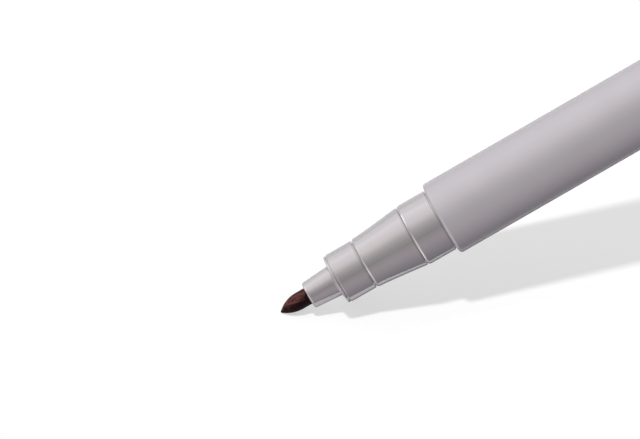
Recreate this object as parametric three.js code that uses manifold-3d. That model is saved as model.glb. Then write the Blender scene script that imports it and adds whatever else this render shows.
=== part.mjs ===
// A non-permanent fibre-tip marker, uncapped, with its cap pushed on the rear end.
//
// The pen lies along X with its writing tip towards -X. Z is up, and the clip of the cap is on top.
// Each piece is drawn from its own front end, at station 0, towards the rear, and is then placed
// along the pen. Stations and radii are in millimetres.

import * as THREE from "three";
import { mergeVertices } from "three/addons/utils/BufferGeometryUtils.js";
import Module from "manifold-3d";

const wasm = await Module();
wasm.setup();

// Barrel
const BARREL_DIAMETER = 9.6;
const BARREL_LENGTH = 88;
const BARREL_WALL = 1;
const BARREL_FRONT_ROUNDING = 0.42;
const BARREL_REAR_ROUNDING = 0.15;
const BARREL_RIB_COUNT = 6;
const BARREL_RIB_ANGLE = 0.16;
const BARREL_RIB_SETBACK = 1;

// Nib
const NIB_DIAMETER = 2.18;
const NIB_PROTRUSION = 3.8;
const NIB_TIP_RADIUS = 0.2;
const NIB_FLANK_RADIUS = 3.6;
const NIB_PIERCE_DEPTH = 3.5;
const NIB_REAR_CHAMFER = 0.3;

// Nose, from its mouth to the barrel
const HOLDER_LENGTH = 3.5;
const HOLDER_FRONT_DIAMETER = 3.44;
const HOLDER_REAR_DIAMETER = 4;
const HOLDER_ROUNDING = 0.36;
const SHOULDER_FACE_LENGTH = 0.3;
const SHOULDER_ROUNDING = 0.42;
const LAND_LENGTH = 3.82;
const LAND_DIAMETER = 6.52;
const SEAL_GROOVE_WIDTH = 0.22;
const SEAL_GROOVE_DEPTH = 0.1;
const SEAL_BEVEL_LENGTH = 0.24;
const SEAL_BEVEL_HEIGHT = 0.09;
const CONE_LENGTH = 6.3;
const CONE_FLARE_LENGTH = 0.9;
const SEAT_GROOVE_WIDTH = 0.2;
const SEAT_GROOVE_DEPTH = 0.06;
const SEAT_BEVEL_LENGTH = 0.44;
const SEAT_BEVEL_HEIGHT = 0.08;
const SEAT_LENGTH = 3.3;
const SEAT_DIAMETER = 8.16;
const SNAP_GROOVE_WIDTH = 0.3;
const SNAP_GROOVE_DEPTH = 0.12;
const SPIGOT_LENGTH = 10;
const SPIGOT_WALL = 0.54;
const SPIGOT_BEAD_COUNT = 2;
const SPIGOT_BEAD_HEIGHT = 0.1;
const SPIGOT_BEAD_LENGTH = 0.8;
const SPIGOT_BEAD_PITCH = 3;

// Inside of the nose
const MOUTH_LAND_LENGTH = 0.8;
const AIR_CHANNEL_COUNT = 4;
const AIR_CHANNEL_DEPTH = 0.28;
const AIR_CHANNEL_ANGLE = 0.9;
const NIB_GRIP_LENGTH = 9;
const CAVITY_DIAMETER = 4.9;
const CAVITY_CONE_LENGTH = 3.5;
const SOCKET_DEPTH = 6;

// Ink reservoir
const FILM_THICKNESS = 0.12;
const FILM_SETBACK = 0.4;
const CORE_ROUNDING = 0.25;

// End plug
const PLUG_SPIGOT_LENGTH = 8;
const PLUG_SPIGOT_WALL = 1.1;
const PLUG_FLANGE_LENGTH = 1.8;
const PLUG_STUB_WALL = 1.1;
const PLUG_END_WALL = 1.2;
const PLUG_ROUNDING = 0.45;
const STUB_END_ROOM = 0.3;

// Cap
const CAP_LENGTH = 42;
const CAP_MOUTH_DIAMETER = 10;
const CAP_END_DIAMETER = 9.4;
const CAP_MOUTH_ROUNDING = 0.25;
const CAP_END_ROUNDING = 0.9;
const CAP_END_WALL = 1.4;
const CAP_BEAD_LENGTH = 0.4;
const CAP_BEAD_HEIGHT = 0.07;
const CAP_MOUTH_CHAMFER = 0.12;
const CAP_SHOULDER_HEIGHT = 0.4;

// Inner cap, a cup that closes over the nose
const INNER_CAP_WALL = 0.54;
const INNER_CAP_END_WALL = 0.8;
const INNER_CAP_ROUNDING = 0.35;
const INNER_CAP_CHAMFER = 0.25;
const SEAL_SHARE = 0.33;
const TIP_ROOM = 1.5;

// Clip, moulded with the cap
const CLIP_LENGTH = 31;
const CLIP_SETBACK = 0.6;
const CLIP_ROOT_LENGTH = 4;
const CLIP_ROOT_WIDTH = 4.2;
const CLIP_TIP_WIDTH = 3.2;
const CLIP_THICKNESS = 1.15;
const CLIP_GAP = 1;
const CLIP_SINK = 0.4;
const CLIP_FOOT_LENGTH = 2.8;
const CLIP_FOOT_GAP = 0.25;
const CLIP_FOOT_SETBACK = 1.2;
const CLIP_LIFT = 0.45;
const CLIP_ROUNDING = 1.1;

// Clearances
const PRESS_CLEARANCE = 0.03;
const SLIDE_CLEARANCE = 0.03;
const FACE_CLEARANCE = 0.02;

// Smoothness of round stretches
const ROUND_STEPS = 40;
const QUARTER_STEPS = 4;
const FLANK_STEPS = 6;
const MERGE_DISTANCE = 1e-4;

// Radii that several pieces share
const barrelRadius = BARREL_DIAMETER / 2;
const boreRadius = barrelRadius - BARREL_WALL;
const spigotRadius = boreRadius - PRESS_CLEARANCE;
const socketRadius = spigotRadius - SPIGOT_WALL;
const reservoirRadius = socketRadius - PRESS_CLEARANCE;
const nibRadius = NIB_DIAMETER / 2;
const nibBoreRadius = nibRadius + PRESS_CLEARANCE;
const landRadius = LAND_DIAMETER / 2;
const coneFrontRadius = landRadius + SEAL_BEVEL_HEIGHT;
const seatRadius = SEAT_DIAMETER / 2;
const coneRearRadius = seatRadius - SEAT_BEVEL_HEIGHT;
const snapGrooveRadius = seatRadius - SNAP_GROOVE_DEPTH;
const capMouthRadius = CAP_MOUTH_DIAMETER / 2;
const capEndRadius = CAP_END_DIAMETER / 2;
const capBeadRadius = seatRadius + SLIDE_CLEARANCE;
const capBoreRadius = capBeadRadius + CAP_BEAD_HEIGHT;

// Stations in the nose, from its mouth
const landStart = HOLDER_LENGTH + SHOULDER_FACE_LENGTH;
const sealGrooveStart = landStart + LAND_LENGTH;
const coneStart = sealGrooveStart + SEAL_GROOVE_WIDTH + SEAL_BEVEL_LENGTH;
const seatGrooveStart = coneStart + CONE_LENGTH;
const seatStart = seatGrooveStart + SEAT_GROOVE_WIDTH + SEAT_BEVEL_LENGTH;
const snapGrooveStart = seatStart + SEAT_LENGTH;
const noseLength = snapGrooveStart + SNAP_GROOVE_WIDTH;
const spigotEnd = noseLength + SPIGOT_LENGTH;
const socketStart = spigotEnd - SOCKET_DEPTH;

// The flank of the cone leaves the bevel level and opens towards the seat.
const coneFlank = new THREE.QuadraticBezierCurve(
  new THREE.Vector2(coneStart, coneFrontRadius),
  new THREE.Vector2(coneStart + CONE_FLARE_LENGTH, coneFrontRadius),
  new THREE.Vector2(seatGrooveStart, coneRearRadius),
);

// With the cap on the nose, the mouth of the inner cap meets the cone at the seal.
const seal = coneFlank.getPoint(SEAL_SHARE);
const innerCapBoreRadius = seal.y;
const innerCapRadius = innerCapBoreRadius + INNER_CAP_WALL;
const innerCapStart = noseLength - seal.x;
const innerCapLength = seal.x + NIB_PROTRUSION + TIP_ROOM + INNER_CAP_END_WALL;
const capShoulderStart = innerCapStart + innerCapLength + FACE_CLEARANCE;

// Places of the pieces, from the tip of the nib
const noseAt = NIB_PROTRUSION;
const barrelAt = noseAt + noseLength + FACE_CLEARANCE;
const reservoirAt = noseAt + socketStart + FACE_CLEARANCE;
const nibLength = reservoirAt + NIB_PIERCE_DEPTH;
const plugFlangeAt = barrelAt + BARREL_LENGTH + FACE_CLEARANCE;
const plugAt = plugFlangeAt - PLUG_SPIGOT_LENGTH;
const reservoirLength = plugAt - FACE_CLEARANCE - reservoirAt;
const capAt = plugFlangeAt + PLUG_FLANGE_LENGTH + FACE_CLEARANCE;
const innerCapAt = capAt + innerCapStart;

// Plastics and fibre
const greyPlastic = { color: 0xc4c1c4, roughness: 0.38, metalness: 0 };
const glossyGreyPlastic = { color: 0xbdbbbd, roughness: 0.22, metalness: 0 };
const blackPlastic = { color: 0x1b1b1e, roughness: 0.3, metalness: 0 };
const inkedFibre = { color: 0x3d2524, roughness: 0.75, metalness: 0 };
const reservoirFibre = { color: 0x2a2228, roughness: 0.95, metalness: 0 };
const clearFilm = { color: 0xdfe3e6, roughness: 0.2, metalness: 0 };
const naturalPlastic = { color: 0xdcdbd5, roughness: 0.45, metalness: 0 };

// Turns a list of corners, [station, radius] or [station, radius, rounding], into points.
// A rounding becomes an arc, which never takes more than its share of the edges beside it.
function roundedOutline(corners) {
  const edgeShare = 0.48;
  return corners.flatMap(([station, radius, rounding = 0], i) => {
    const corner = new THREE.Vector2(station, radius);
    if (!rounding) {
      return [corner];
    }
    const before = new THREE.Vector2(...corners.at(i - 1)).sub(corner);
    const after = new THREE.Vector2(...corners.at(i + 1 - corners.length)).sub(corner);
    const longest = edgeShare * Math.min(before.length(), after.length());
    before.normalize();
    after.normalize();
    const halfAngle = Math.acos(before.dot(after)) / 2;
    const reach = Math.min(rounding / Math.tan(halfAngle), longest);
    const start = corner.clone().addScaledVector(before, reach);
    const middle = before.clone().add(after).setLength(reach / Math.cos(halfAngle));
    const centre = corner.clone().add(middle);
    const side = Math.sign(after.cross(before));
    const turn = side * (Math.PI - 2 * halfAngle);
    const steps = Math.max(2, Math.round((Math.abs(turn) / (Math.PI / 2)) * QUARTER_STEPS));
    return Array.from({ length: steps + 1 }, (_, k) => {
      return start.clone().rotateAround(centre, (turn * k) / steps);
    });
  });
}

// A solid of revolution about X, with a flat facet underneath. A hollow piece is drawn forwards
// along its bore, and then back to the rear along its outside.
function turned(corners) {
  const outline = roundedOutline(corners).map((point) => new THREE.Vector2(point.y, point.x));
  if (outline[0].x > 0) {
    outline.push(outline[0].clone());
  }
  const geometry = new THREE.LatheGeometry(outline, ROUND_STEPS);
  geometry.rotateZ(-Math.PI / 2);
  geometry.rotateX(Math.PI / ROUND_STEPS);
  return geometry;
}

// A straight rib or channel between two radii, centred on an angle about X
function ringSector(innerRadius, outerRadius, angle, width, start, length) {
  const shape = new THREE.Shape();
  shape.absarc(0, 0, outerRadius, angle - width / 2, angle + width / 2, false);
  shape.absarc(0, 0, innerRadius, angle + width / 2, angle - width / 2, true);
  shape.closePath();
  const geometry = new THREE.ExtrudeGeometry(shape, {
    depth: length,
    bevelEnabled: false,
    curveSegments: QUARTER_STEPS,
  });
  geometry.rotateY(Math.PI / 2);
  geometry.translate(start, 0, 0);
  return geometry;
}

// A closed geometry as a solid that can be joined and cut
function solid(geometry) {
  const bare = geometry.clone();
  bare.deleteAttribute("normal");
  bare.deleteAttribute("uv");
  const merged = mergeVertices(bare, MERGE_DISTANCE);
  const triVerts = Uint32Array.from(merged.index.array);
  const vertProperties = merged.attributes.position.array;
  return new wasm.Manifold(new wasm.Mesh({ numProp: 3, vertProperties, triVerts }));
}

// A solid as a geometry again
function geometryOf(manifold) {
  const mesh = manifold.getMesh();
  const geometry = new THREE.BufferGeometry();
  geometry.setAttribute("position", new THREE.BufferAttribute(mesh.vertProperties, 3));
  geometry.setIndex(new THREE.BufferAttribute(mesh.triVerts, 1));
  geometry.computeVertexNormals();
  return geometry;
}

// A named piece at its place along the pen
function piece(name, geometry, look, station) {
  const mesh = new THREE.Mesh(geometry, new THREE.MeshStandardMaterial(look));
  mesh.name = name;
  mesh.position.x = station;
  return mesh;
}

// The nib is a fibre rod. Its flank curves in to a small round tip and runs smoothly into it.
function nibGeometry() {
  const centreDistance = NIB_FLANK_RADIUS - NIB_TIP_RADIUS;
  const centreDrop = NIB_FLANK_RADIUS - nibRadius;
  const flankAngle = Math.acos(centreDrop / centreDistance);
  const pointLength = NIB_TIP_RADIUS + centreDistance * Math.sin(flankAngle);
  const tip = Array.from({ length: QUARTER_STEPS }, (_, i) => {
    const angle = (i / QUARTER_STEPS) * (Math.PI / 2 - flankAngle);
    return [NIB_TIP_RADIUS * (1 - Math.cos(angle)), NIB_TIP_RADIUS * Math.sin(angle)];
  });
  const flank = Array.from({ length: FLANK_STEPS + 1 }, (_, i) => {
    const angle = flankAngle * (1 - i / FLANK_STEPS);
    const station = pointLength - NIB_FLANK_RADIUS * Math.sin(angle);
    return [station, NIB_FLANK_RADIUS * Math.cos(angle) - centreDrop];
  });
  return turned([
    ...tip,
    ...flank,
    [nibLength - NIB_REAR_CHAMFER, nibRadius],
    [nibLength, nibRadius - NIB_REAR_CHAMFER],
    [nibLength, 0],
  ]);
}

// The nose is one moulding: holder, shoulder, land, cone, cap seat and the spigot in the barrel.
function noseGeometry() {
  const sealGrooveRadius = landRadius - SEAL_GROOVE_DEPTH;
  const seatGrooveRadius = coneRearRadius - SEAT_GROOVE_DEPTH;
  const neckRadius = spigotRadius - SPIGOT_BEAD_HEIGHT;
  const cavityRadius = CAVITY_DIAMETER / 2;
  const channelRadius = nibBoreRadius + AIR_CHANNEL_DEPTH;
  const gripEnd = MOUTH_LAND_LENGTH + NIB_GRIP_LENGTH;
  const flank = coneFlank.getPoints(FLANK_STEPS).map((point) => [point.x, point.y]);
  const beads = Array.from({ length: SPIGOT_BEAD_COUNT }, (_, i) => {
    const beadStart = noseLength + (i + 1) * SPIGOT_BEAD_PITCH;
    const beadEnd = beadStart + SPIGOT_BEAD_LENGTH;
    return [
      [beadStart - SPIGOT_BEAD_HEIGHT, neckRadius],
      [beadStart, spigotRadius],
      [beadEnd, spigotRadius],
      [beadEnd + SPIGOT_BEAD_HEIGHT, neckRadius],
    ];
  });
  const body = solid(turned([
    [spigotEnd, socketRadius],
    [socketStart, socketRadius],
    [socketStart, cavityRadius],
    [gripEnd + CAVITY_CONE_LENGTH, cavityRadius],
    [gripEnd, channelRadius],
    [gripEnd, nibBoreRadius],
    [0, nibBoreRadius],
    [0, HOLDER_FRONT_DIAMETER / 2, HOLDER_ROUNDING],
    [HOLDER_LENGTH, HOLDER_REAR_DIAMETER / 2],
    [landStart, landRadius, SHOULDER_ROUNDING],
    [sealGrooveStart, landRadius],
    [sealGrooveStart + SEAL_GROOVE_DEPTH / 2, sealGrooveRadius],
    [sealGrooveStart + SEAL_GROOVE_WIDTH, sealGrooveRadius],
    ...flank,
    [seatGrooveStart + SEAT_GROOVE_DEPTH / 2, seatGrooveRadius],
    [seatGrooveStart + SEAT_GROOVE_WIDTH, seatGrooveRadius],
    [seatStart, seatRadius],
    [snapGrooveStart, seatRadius],
    [snapGrooveStart, snapGrooveRadius],
    [noseLength, snapGrooveRadius],
    [noseLength, neckRadius],
    ...beads.flat(),
    [spigotEnd, neckRadius],
  ]));
  const channelAngles = Array.from({ length: AIR_CHANNEL_COUNT }, (_, i) => {
    return ((i + 0.5) * 2 * Math.PI) / AIR_CHANNEL_COUNT;
  });
  return geometryOf(channelAngles.reduce((nose, angle) => {
    const innerRadius = nibBoreRadius / 2;
    const length = NIB_GRIP_LENGTH + FACE_CLEARANCE;
    return nose.subtract(solid(ringSector(
      innerRadius, channelRadius, angle, AIR_CHANNEL_ANGLE, MOUTH_LAND_LENGTH, length,
    )));
  }, body));
}

// The barrel is a tube whose inner ribs centre the reservoir and leave air paths beside it.
function barrelGeometry() {
  const tube = solid(turned([
    [BARREL_LENGTH, boreRadius],
    [0, boreRadius],
    [0, barrelRadius, BARREL_FRONT_ROUNDING],
    [BARREL_LENGTH, barrelRadius, BARREL_REAR_ROUNDING],
  ]));
  const ribStart = SPIGOT_LENGTH + BARREL_RIB_SETBACK;
  const ribLength = BARREL_LENGTH - PLUG_SPIGOT_LENGTH - BARREL_RIB_SETBACK - ribStart;
  const ribAngles = Array.from({ length: BARREL_RIB_COUNT }, (_, i) => {
    return (i * 2 * Math.PI) / BARREL_RIB_COUNT;
  });
  return geometryOf(ribAngles.reduce((barrel, angle) => {
    const rootRadius = boreRadius + BARREL_WALL / 2;
    return barrel.add(solid(ringSector(
      socketRadius, rootRadius, angle, BARREL_RIB_ANGLE, ribStart, ribLength,
    )));
  }, tube));
}

// The reservoir is a bundle of fibre, pierced at the front by the nib.
function reservoirCoreGeometry() {
  const coreRadius = reservoirRadius - FILM_THICKNESS - FACE_CLEARANCE;
  const holeEnd = NIB_PIERCE_DEPTH + FACE_CLEARANCE;
  return turned([
    [holeEnd, 0],
    [holeEnd, nibBoreRadius],
    [0, nibBoreRadius],
    [0, coreRadius, CORE_ROUNDING],
    [reservoirLength, coreRadius, CORE_ROUNDING],
    [reservoirLength, 0],
  ]);
}

// A film wraps the fibre and is open at both ends.
function reservoirFilmGeometry() {
  const innerRadius = reservoirRadius - FILM_THICKNESS;
  const length = reservoirLength - 2 * FILM_SETBACK;
  return turned([
    [length, innerRadius],
    [0, innerRadius],
    [0, reservoirRadius],
    [length, reservoirRadius],
  ]);
}

// The plug closes the barrel, and its stub repeats the cap seat of the nose.
function endPlugGeometry() {
  const flangeEnd = PLUG_SPIGOT_LENGTH + PLUG_FLANGE_LENGTH;
  const stubStart = flangeEnd + SNAP_GROOVE_WIDTH;
  const stubEnd = flangeEnd + innerCapStart - STUB_END_ROOM;
  const stubBoreRadius = seatRadius - PLUG_STUB_WALL;
  const spigotBoreRadius = spigotRadius - PLUG_SPIGOT_WALL;
  return turned([
    [stubEnd - PLUG_END_WALL, 0],
    [stubEnd - PLUG_END_WALL, stubBoreRadius, PLUG_ROUNDING],
    [flangeEnd, stubBoreRadius],
    [PLUG_SPIGOT_LENGTH, spigotBoreRadius],
    [0, spigotBoreRadius],
    [0, spigotRadius],
    [PLUG_SPIGOT_LENGTH, spigotRadius],
    [PLUG_SPIGOT_LENGTH, barrelRadius, BARREL_REAR_ROUNDING],
    [flangeEnd, barrelRadius, BARREL_REAR_ROUNDING],
    [flangeEnd, snapGrooveRadius],
    [stubStart, snapGrooveRadius],
    [stubStart, seatRadius],
    [stubEnd, seatRadius, PLUG_ROUNDING],
    [stubEnd, 0],
  ]);
}

// The radius of the cap's tapered outside
function capRadiusAt(station) {
  return THREE.MathUtils.lerp(capMouthRadius, capEndRadius, station / CAP_LENGTH);
}

// The clip is cut from a ring around the cap, so its faces curve like the cap's. A foot near its
// free end comes down to the cap, and the end beyond it is lifted.
function clipSolid() {
  const rootEnd = CAP_LENGTH - CLIP_SETBACK;
  const rootStart = rootEnd - CLIP_ROOT_LENGTH;
  const freeEnd = rootEnd - CLIP_LENGTH;
  const footStart = freeEnd + CLIP_FOOT_SETBACK;
  const footMiddle = footStart + CLIP_FOOT_LENGTH / 2;
  const footEnd = footStart + CLIP_FOOT_LENGTH;
  const under = (station) => capRadiusAt(station) + CLIP_GAP;
  const over = (station) => under(station) + CLIP_THICKNESS;
  const ring = solid(turned([
    [rootEnd, capEndRadius - CLIP_SINK],
    [rootStart, capEndRadius - CLIP_SINK],
    [rootStart, under(rootStart), CLIP_GAP / 2],
    [footEnd, under(footEnd), CLIP_FOOT_LENGTH / 2],
    [footMiddle, capRadiusAt(footMiddle) + CLIP_FOOT_GAP, CLIP_FOOT_LENGTH / 2],
    [footStart, under(footStart) + CLIP_LIFT / 2],
    [freeEnd, under(freeEnd) + CLIP_LIFT],
    [freeEnd, over(freeEnd), CLIP_THICKNESS / 3],
    [rootEnd, over(rootEnd), CLIP_ROUNDING],
  ]));
  const plan = new THREE.Shape(roundedOutline([
    [CAP_LENGTH, -CLIP_ROOT_WIDTH / 2],
    [CAP_LENGTH, CLIP_ROOT_WIDTH / 2],
    [freeEnd, CLIP_TIP_WIDTH / 2, CLIP_TIP_WIDTH / 2],
    [freeEnd, -CLIP_TIP_WIDTH / 2, CLIP_TIP_WIDTH / 2],
  ]));
  const strip = new THREE.ExtrudeGeometry(plan, {
    depth: CAP_MOUTH_DIAMETER,
    bevelEnabled: false,
  });
  return ring.intersect(solid(strip));
}

// The cap: a cup with a snap bead at its mouth, a pocket for the inner cap and the clip on top
function capGeometry() {
  const pocketRadius = innerCapRadius + PRESS_CLEARANCE;
  const wellRadius = pocketRadius - CAP_SHOULDER_HEIGHT;
  const wellEnd = CAP_LENGTH - CAP_END_WALL;
  const beadEnd = CAP_MOUTH_CHAMFER + CAP_BEAD_LENGTH;
  const cup = solid(turned([
    [wellEnd, 0],
    [wellEnd, wellRadius, CAP_END_ROUNDING],
    [capShoulderStart, wellRadius],
    [capShoulderStart, pocketRadius],
    [innerCapStart, pocketRadius],
    [innerCapStart, capBoreRadius],
    [beadEnd + CAP_BEAD_HEIGHT, capBoreRadius],
    [beadEnd, capBeadRadius],
    [CAP_MOUTH_CHAMFER, capBeadRadius],
    [0, capBeadRadius + CAP_MOUTH_CHAMFER],
    [0, capMouthRadius, CAP_MOUTH_ROUNDING],
    [CAP_LENGTH, capEndRadius, CAP_END_ROUNDING],
    [CAP_LENGTH, 0],
  ]));
  return geometryOf(cup.add(clipSolid()));
}

// The inner cap keeps the nib from drying when the cap is on the nose.
function innerCapGeometry() {
  const floor = innerCapLength - INNER_CAP_END_WALL;
  return turned([
    [floor, 0],
    [floor, innerCapBoreRadius, INNER_CAP_ROUNDING],
    [INNER_CAP_CHAMFER, innerCapBoreRadius],
    [0, innerCapBoreRadius + INNER_CAP_CHAMFER],
    [0, innerCapRadius],
    [innerCapLength, innerCapRadius, INNER_CAP_ROUNDING],
    [innerCapLength, 0],
  ]);
}

const marker = new THREE.Group();
marker.add(
  piece("nib", nibGeometry(), inkedFibre, 0),
  piece("nose", noseGeometry(), glossyGreyPlastic, noseAt),
  piece("barrel", barrelGeometry(), greyPlastic, barrelAt),
  piece("reservoir_core", reservoirCoreGeometry(), reservoirFibre, reservoirAt),
  piece("reservoir_film", reservoirFilmGeometry(), clearFilm, reservoirAt + FILM_SETBACK),
  piece("end_plug", endPlugGeometry(), blackPlastic, plugAt),
  piece("cap", capGeometry(), blackPlastic, capAt),
  piece("inner_cap", innerCapGeometry(), naturalPlastic, innerCapAt),
);

// The marker stands centred on the origin and lies on the plane z = 0.
const bounds = new THREE.Box3().setFromObject(marker);
const centre = bounds.getCenter(new THREE.Vector3());
marker.position.set(-centre.x, -centre.y, -bounds.min.z);

export default marker;
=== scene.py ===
"""Looks for an uncapped fibre-tip marker that writes on paper, with its cap on the rear end."""

import math

import bmesh
import bpy
from mathutils import Matrix, Vector


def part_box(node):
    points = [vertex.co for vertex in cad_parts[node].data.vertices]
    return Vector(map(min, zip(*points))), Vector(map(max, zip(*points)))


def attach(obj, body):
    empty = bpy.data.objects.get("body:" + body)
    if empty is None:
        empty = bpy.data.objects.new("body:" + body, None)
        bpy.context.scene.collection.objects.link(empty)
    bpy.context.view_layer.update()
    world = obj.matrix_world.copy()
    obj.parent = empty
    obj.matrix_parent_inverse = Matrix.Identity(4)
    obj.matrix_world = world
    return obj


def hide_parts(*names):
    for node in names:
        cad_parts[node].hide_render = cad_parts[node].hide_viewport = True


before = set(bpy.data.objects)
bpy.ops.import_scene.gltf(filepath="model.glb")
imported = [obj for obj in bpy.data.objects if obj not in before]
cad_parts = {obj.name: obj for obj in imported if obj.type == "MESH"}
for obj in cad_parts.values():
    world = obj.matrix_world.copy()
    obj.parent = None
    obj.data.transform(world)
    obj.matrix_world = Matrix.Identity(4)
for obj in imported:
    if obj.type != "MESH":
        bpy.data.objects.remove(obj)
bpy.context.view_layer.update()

MM = 0.001
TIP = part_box("nib")[0].x
AXIS_HEIGHT = (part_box("nib")[0].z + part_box("nib")[1].z) / 2


def ends(node_name):
    """Where a CAD node starts and ends, in millimetres from the tip of the nib."""
    low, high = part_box(node_name)
    return (low.x - TIP) / MM, (high.x - TIP) / MM


# Sizes in millimetres. Stations run from the tip of the nib to the rear.
NIB_RADIUS = 1.09
NIB_TIP_RADIUS = 0.13
NIB_FLANK_RADIUS = 4.1
NIB_END_ROUNDING = 0.3
NIB_PROUD = 0.31
NIB_DROOP = 0.15
NIB_DROOP_LENGTH = 2.6

HOLDER_PROUD = 0.15
HOLDER_LENGTH = 3.73
HOLDER_FRONT_RADIUS = 1.72
HOLDER_REAR_RADIUS = 2.0
HOLDER_ROUNDING = 0.36
SHOULDER_FACE_LENGTH = 0.2
SHOULDER_RIM_LENGTH = 0.24
SHOULDER_RADIUS = 3.2
SHOULDER_ROUNDING = 0.14
SHOULDER_LINE_WIDTH = 0.12
SHOULDER_LINE_DEPTH = 0.15
LAND_LENGTH = 3.48
LAND_RADIUS = 3.26
LAND_CHAMFER = 0.06
SEAL_GROOVE_WIDTH = 0.16
SEAL_GROOVE_DEPTH = 0.2
SEAL_BEVEL_HEIGHT = 0.19
SEAL_BEVEL_LENGTH = 0.28
SEAL_BEVEL_ROUNDING = 0.2
CONE_LENGTH = 6.36
CONE_FLARE_LENGTH = 0.9
CONE_FRONT_RADIUS = 3.35
CONE_REAR_RADIUS = 4.0
SEAT_GROOVE_WIDTH = 0.15
SEAT_GROOVE_DEPTH = 0.16
SEAT_BEVEL_STEEPEST = math.radians(45)
SEAT_BEVEL_LENGTH = 0.41
SEAT_RADIUS = 4.08
NOSE_SNAP_WIDTH = 0.17
NOSE_SNAP_DEPTH = 0.2
MOUTH_BORE_RADIUS = 1.12
MOUTH_BORE_ROUNDING = 0.08
CAVITY_RADIUS = 2.45
CAVITY_START = 9.8
CAVITY_CONE_LENGTH = 3.5
SOCKET_DEPTH = 6
SOCKET_RADIUS = 3.23

BARREL_RADIUS = 4.8
BARREL_BORE_RADIUS = 3.8
BARREL_FRONT_ROUNDING = 0.42
REAR_ROUNDING = 0.15
SPIGOT_RADIUS = 3.77
SPIGOT_BEAD_HEIGHT = 0.1
SPIGOT_BEAD_LENGTH = 0.8
SPIGOT_BEAD_PITCH = 3
SPIGOT_BEAD_COUNT = 2

PLUG_SPIGOT_LENGTH = 8
PLUG_SPIGOT_BORE_RADIUS = 2.67
PLUG_FLANGE_LENGTH = 1.8
PLUG_STUB_BORE_RADIUS = 2.98
PLUG_END_WALL = 1.2
PLUG_ROUNDING = 0.45
PLUG_SNAP_WIDTH = 0.3
PLUG_SNAP_DEPTH = 0.12

CAP_LENGTH = ends("cap")[1] - ends("cap")[0]
CAP_MOUTH_RADIUS = 5.0
CAP_END_RADIUS = 4.7
CAP_MOUTH_ROUNDING = 0.25
CAP_END_ROUNDING = 0.9
CAP_END_WALL = 1.4
CAP_BEAD_RADIUS = 4.11
CAP_BEAD_LENGTH = 0.4
CAP_BEAD_HEIGHT = 0.07
CAP_MOUTH_CHAMFER = 0.12
CAP_SHOULDER_HEIGHT = 0.4

INNER_CAP_RADIUS = 3.95
INNER_CAP_BORE_RADIUS = 3.41
INNER_CAP_END_WALL = 0.8
INNER_CAP_ROUNDING = 0.35
INNER_CAP_CHAMFER = 0.25

CLIP_LENGTH = 31
CLIP_SETBACK = 0.6
CLIP_ROOT_LENGTH = 4
CLIP_ROOT_WIDTH = 4.2
CLIP_TIP_WIDTH = 3.2
CLIP_THICKNESS = 1.15
CLIP_GAP = 1
CLIP_SINK = 0.4
CLIP_FOOT_LENGTH = 2.8
CLIP_FOOT_GAP = 0.25
CLIP_FOOT_SETBACK = 1.2
CLIP_LIFT = 0.45
CLIP_ROOT_ROUNDING = 0.9
CLIP_CORNER_ROUNDING = 0.5
CLIP_TOP_EDGE = 0.3
CLIP_BOTTOM_EDGE = 0.15
# The walls at the root lean by a hair, so that each station has one radius.
CLIP_WALL_LEAN = 0.01

# Stations of the clip, from the mouth of the cap
CLIP_ROOT_END = CAP_LENGTH - CLIP_SETBACK
CLIP_FREE_END = CLIP_ROOT_END - CLIP_LENGTH
CLIP_SIDES_START = CLIP_FREE_END + CLIP_TIP_WIDTH / 2
CLIP_SIDES_END = CLIP_ROOT_END - CLIP_CORNER_ROUNDING

# Small roundings, leans and gaps of moulded pieces
CRISP = 0.03
SOFT = 0.1

# Fineness of the pieces. The last two sizes are in metres.
TURN_STEPS = 160
QUARTER_STEPS = 6
FLANK_STEPS = 24
CLIP_TIP_STEPS = 12
CLIP_SIDE_STEPS = 40
CLIP_INNER_STEPS = 6
LONGEST_FACE = 4.0
SMOOTH_ANGLE = math.radians(28)
WELD_DISTANCE = 1e-7
SLIVER_LENGTH = 1e-8

# A rounding takes at most this share of the shorter flat beside it. A support point outside each
# end of its arc lies at a share of the rounding away, and at most at a share of that reach.
ROUNDING_REACH = 0.45
SUPPORT_OF_ROUNDING = 0.2
SUPPORT_OF_REACH = 0.05

# Plastic. Scales are for metres along, across and up, and bumps are in metres.
CLOUD_SCALE = (260.0, 260.0, 260.0)
GRAIN_SCALE = (5200.0, 5200.0, 5200.0)
FLOW_SCALE = (120.0, 3200.0, 3200.0)
SCUFF_SCALE = (90.0, 1500.0, 1500.0)
SCUFF_SLANT = (0.5, 0.35, 0.6)
SCUFF_WIDTH = 0.012
SCUFFED_FROM = 0.5
SCUFFED_FULLY = 0.62
CLOUD_DARKEST = 0.93
FLOW_IN_ROUGHNESS = 0.06
CLOUD_IN_ROUGHNESS = 0.05
FLOW_IN_GRAIN = 0.6
PLASTIC_BUMP = 0.00002
PLASTIC_BUMP_STRENGTH = 0.5

# Fibre. The nib is lighter on its side above the line that the pen writes and darker below it,
# partly from ink and partly as painted shade. The darkening at a collar, partly ink and partly
# painted contact shade, starts and is full at distances before it, in millimetres.
STRAND_SCALE = (420.0, 3600.0, 3600.0)
SPECK_SCALE = (4200.0, 4200.0, 4200.0)
STRANDS_IN_COLOUR = 0.6
STRANDS_IN_BUMP = 0.7
DARK_STRAND = 0.38
LIGHT_STRAND = 0.64
DRY_LIT_SIDE = Vector((0, 0.84, 0.55))
WET_SHADED_BELOW = -0.25
DRY_LIT_ABOVE = 0.35
DARK_EDGE_RAGGEDNESS = 1.6
COLLAR_INK_SHADE = 0.9
COLLAR_INK_SHADE_FROM = 0.6
COLLAR_INK_SHADE_FULLY = 0.1
WET_ROUGHNESS = 0.5
DRY_ROUGHNESS = 0.2
SPECK_ROUGHNESS = 0.3
FIBRE_GLOSS = 0.1
FIBRE_BUMP = 0.00008
FIBRE_BUMP_STRENGTH = 0.9

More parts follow.
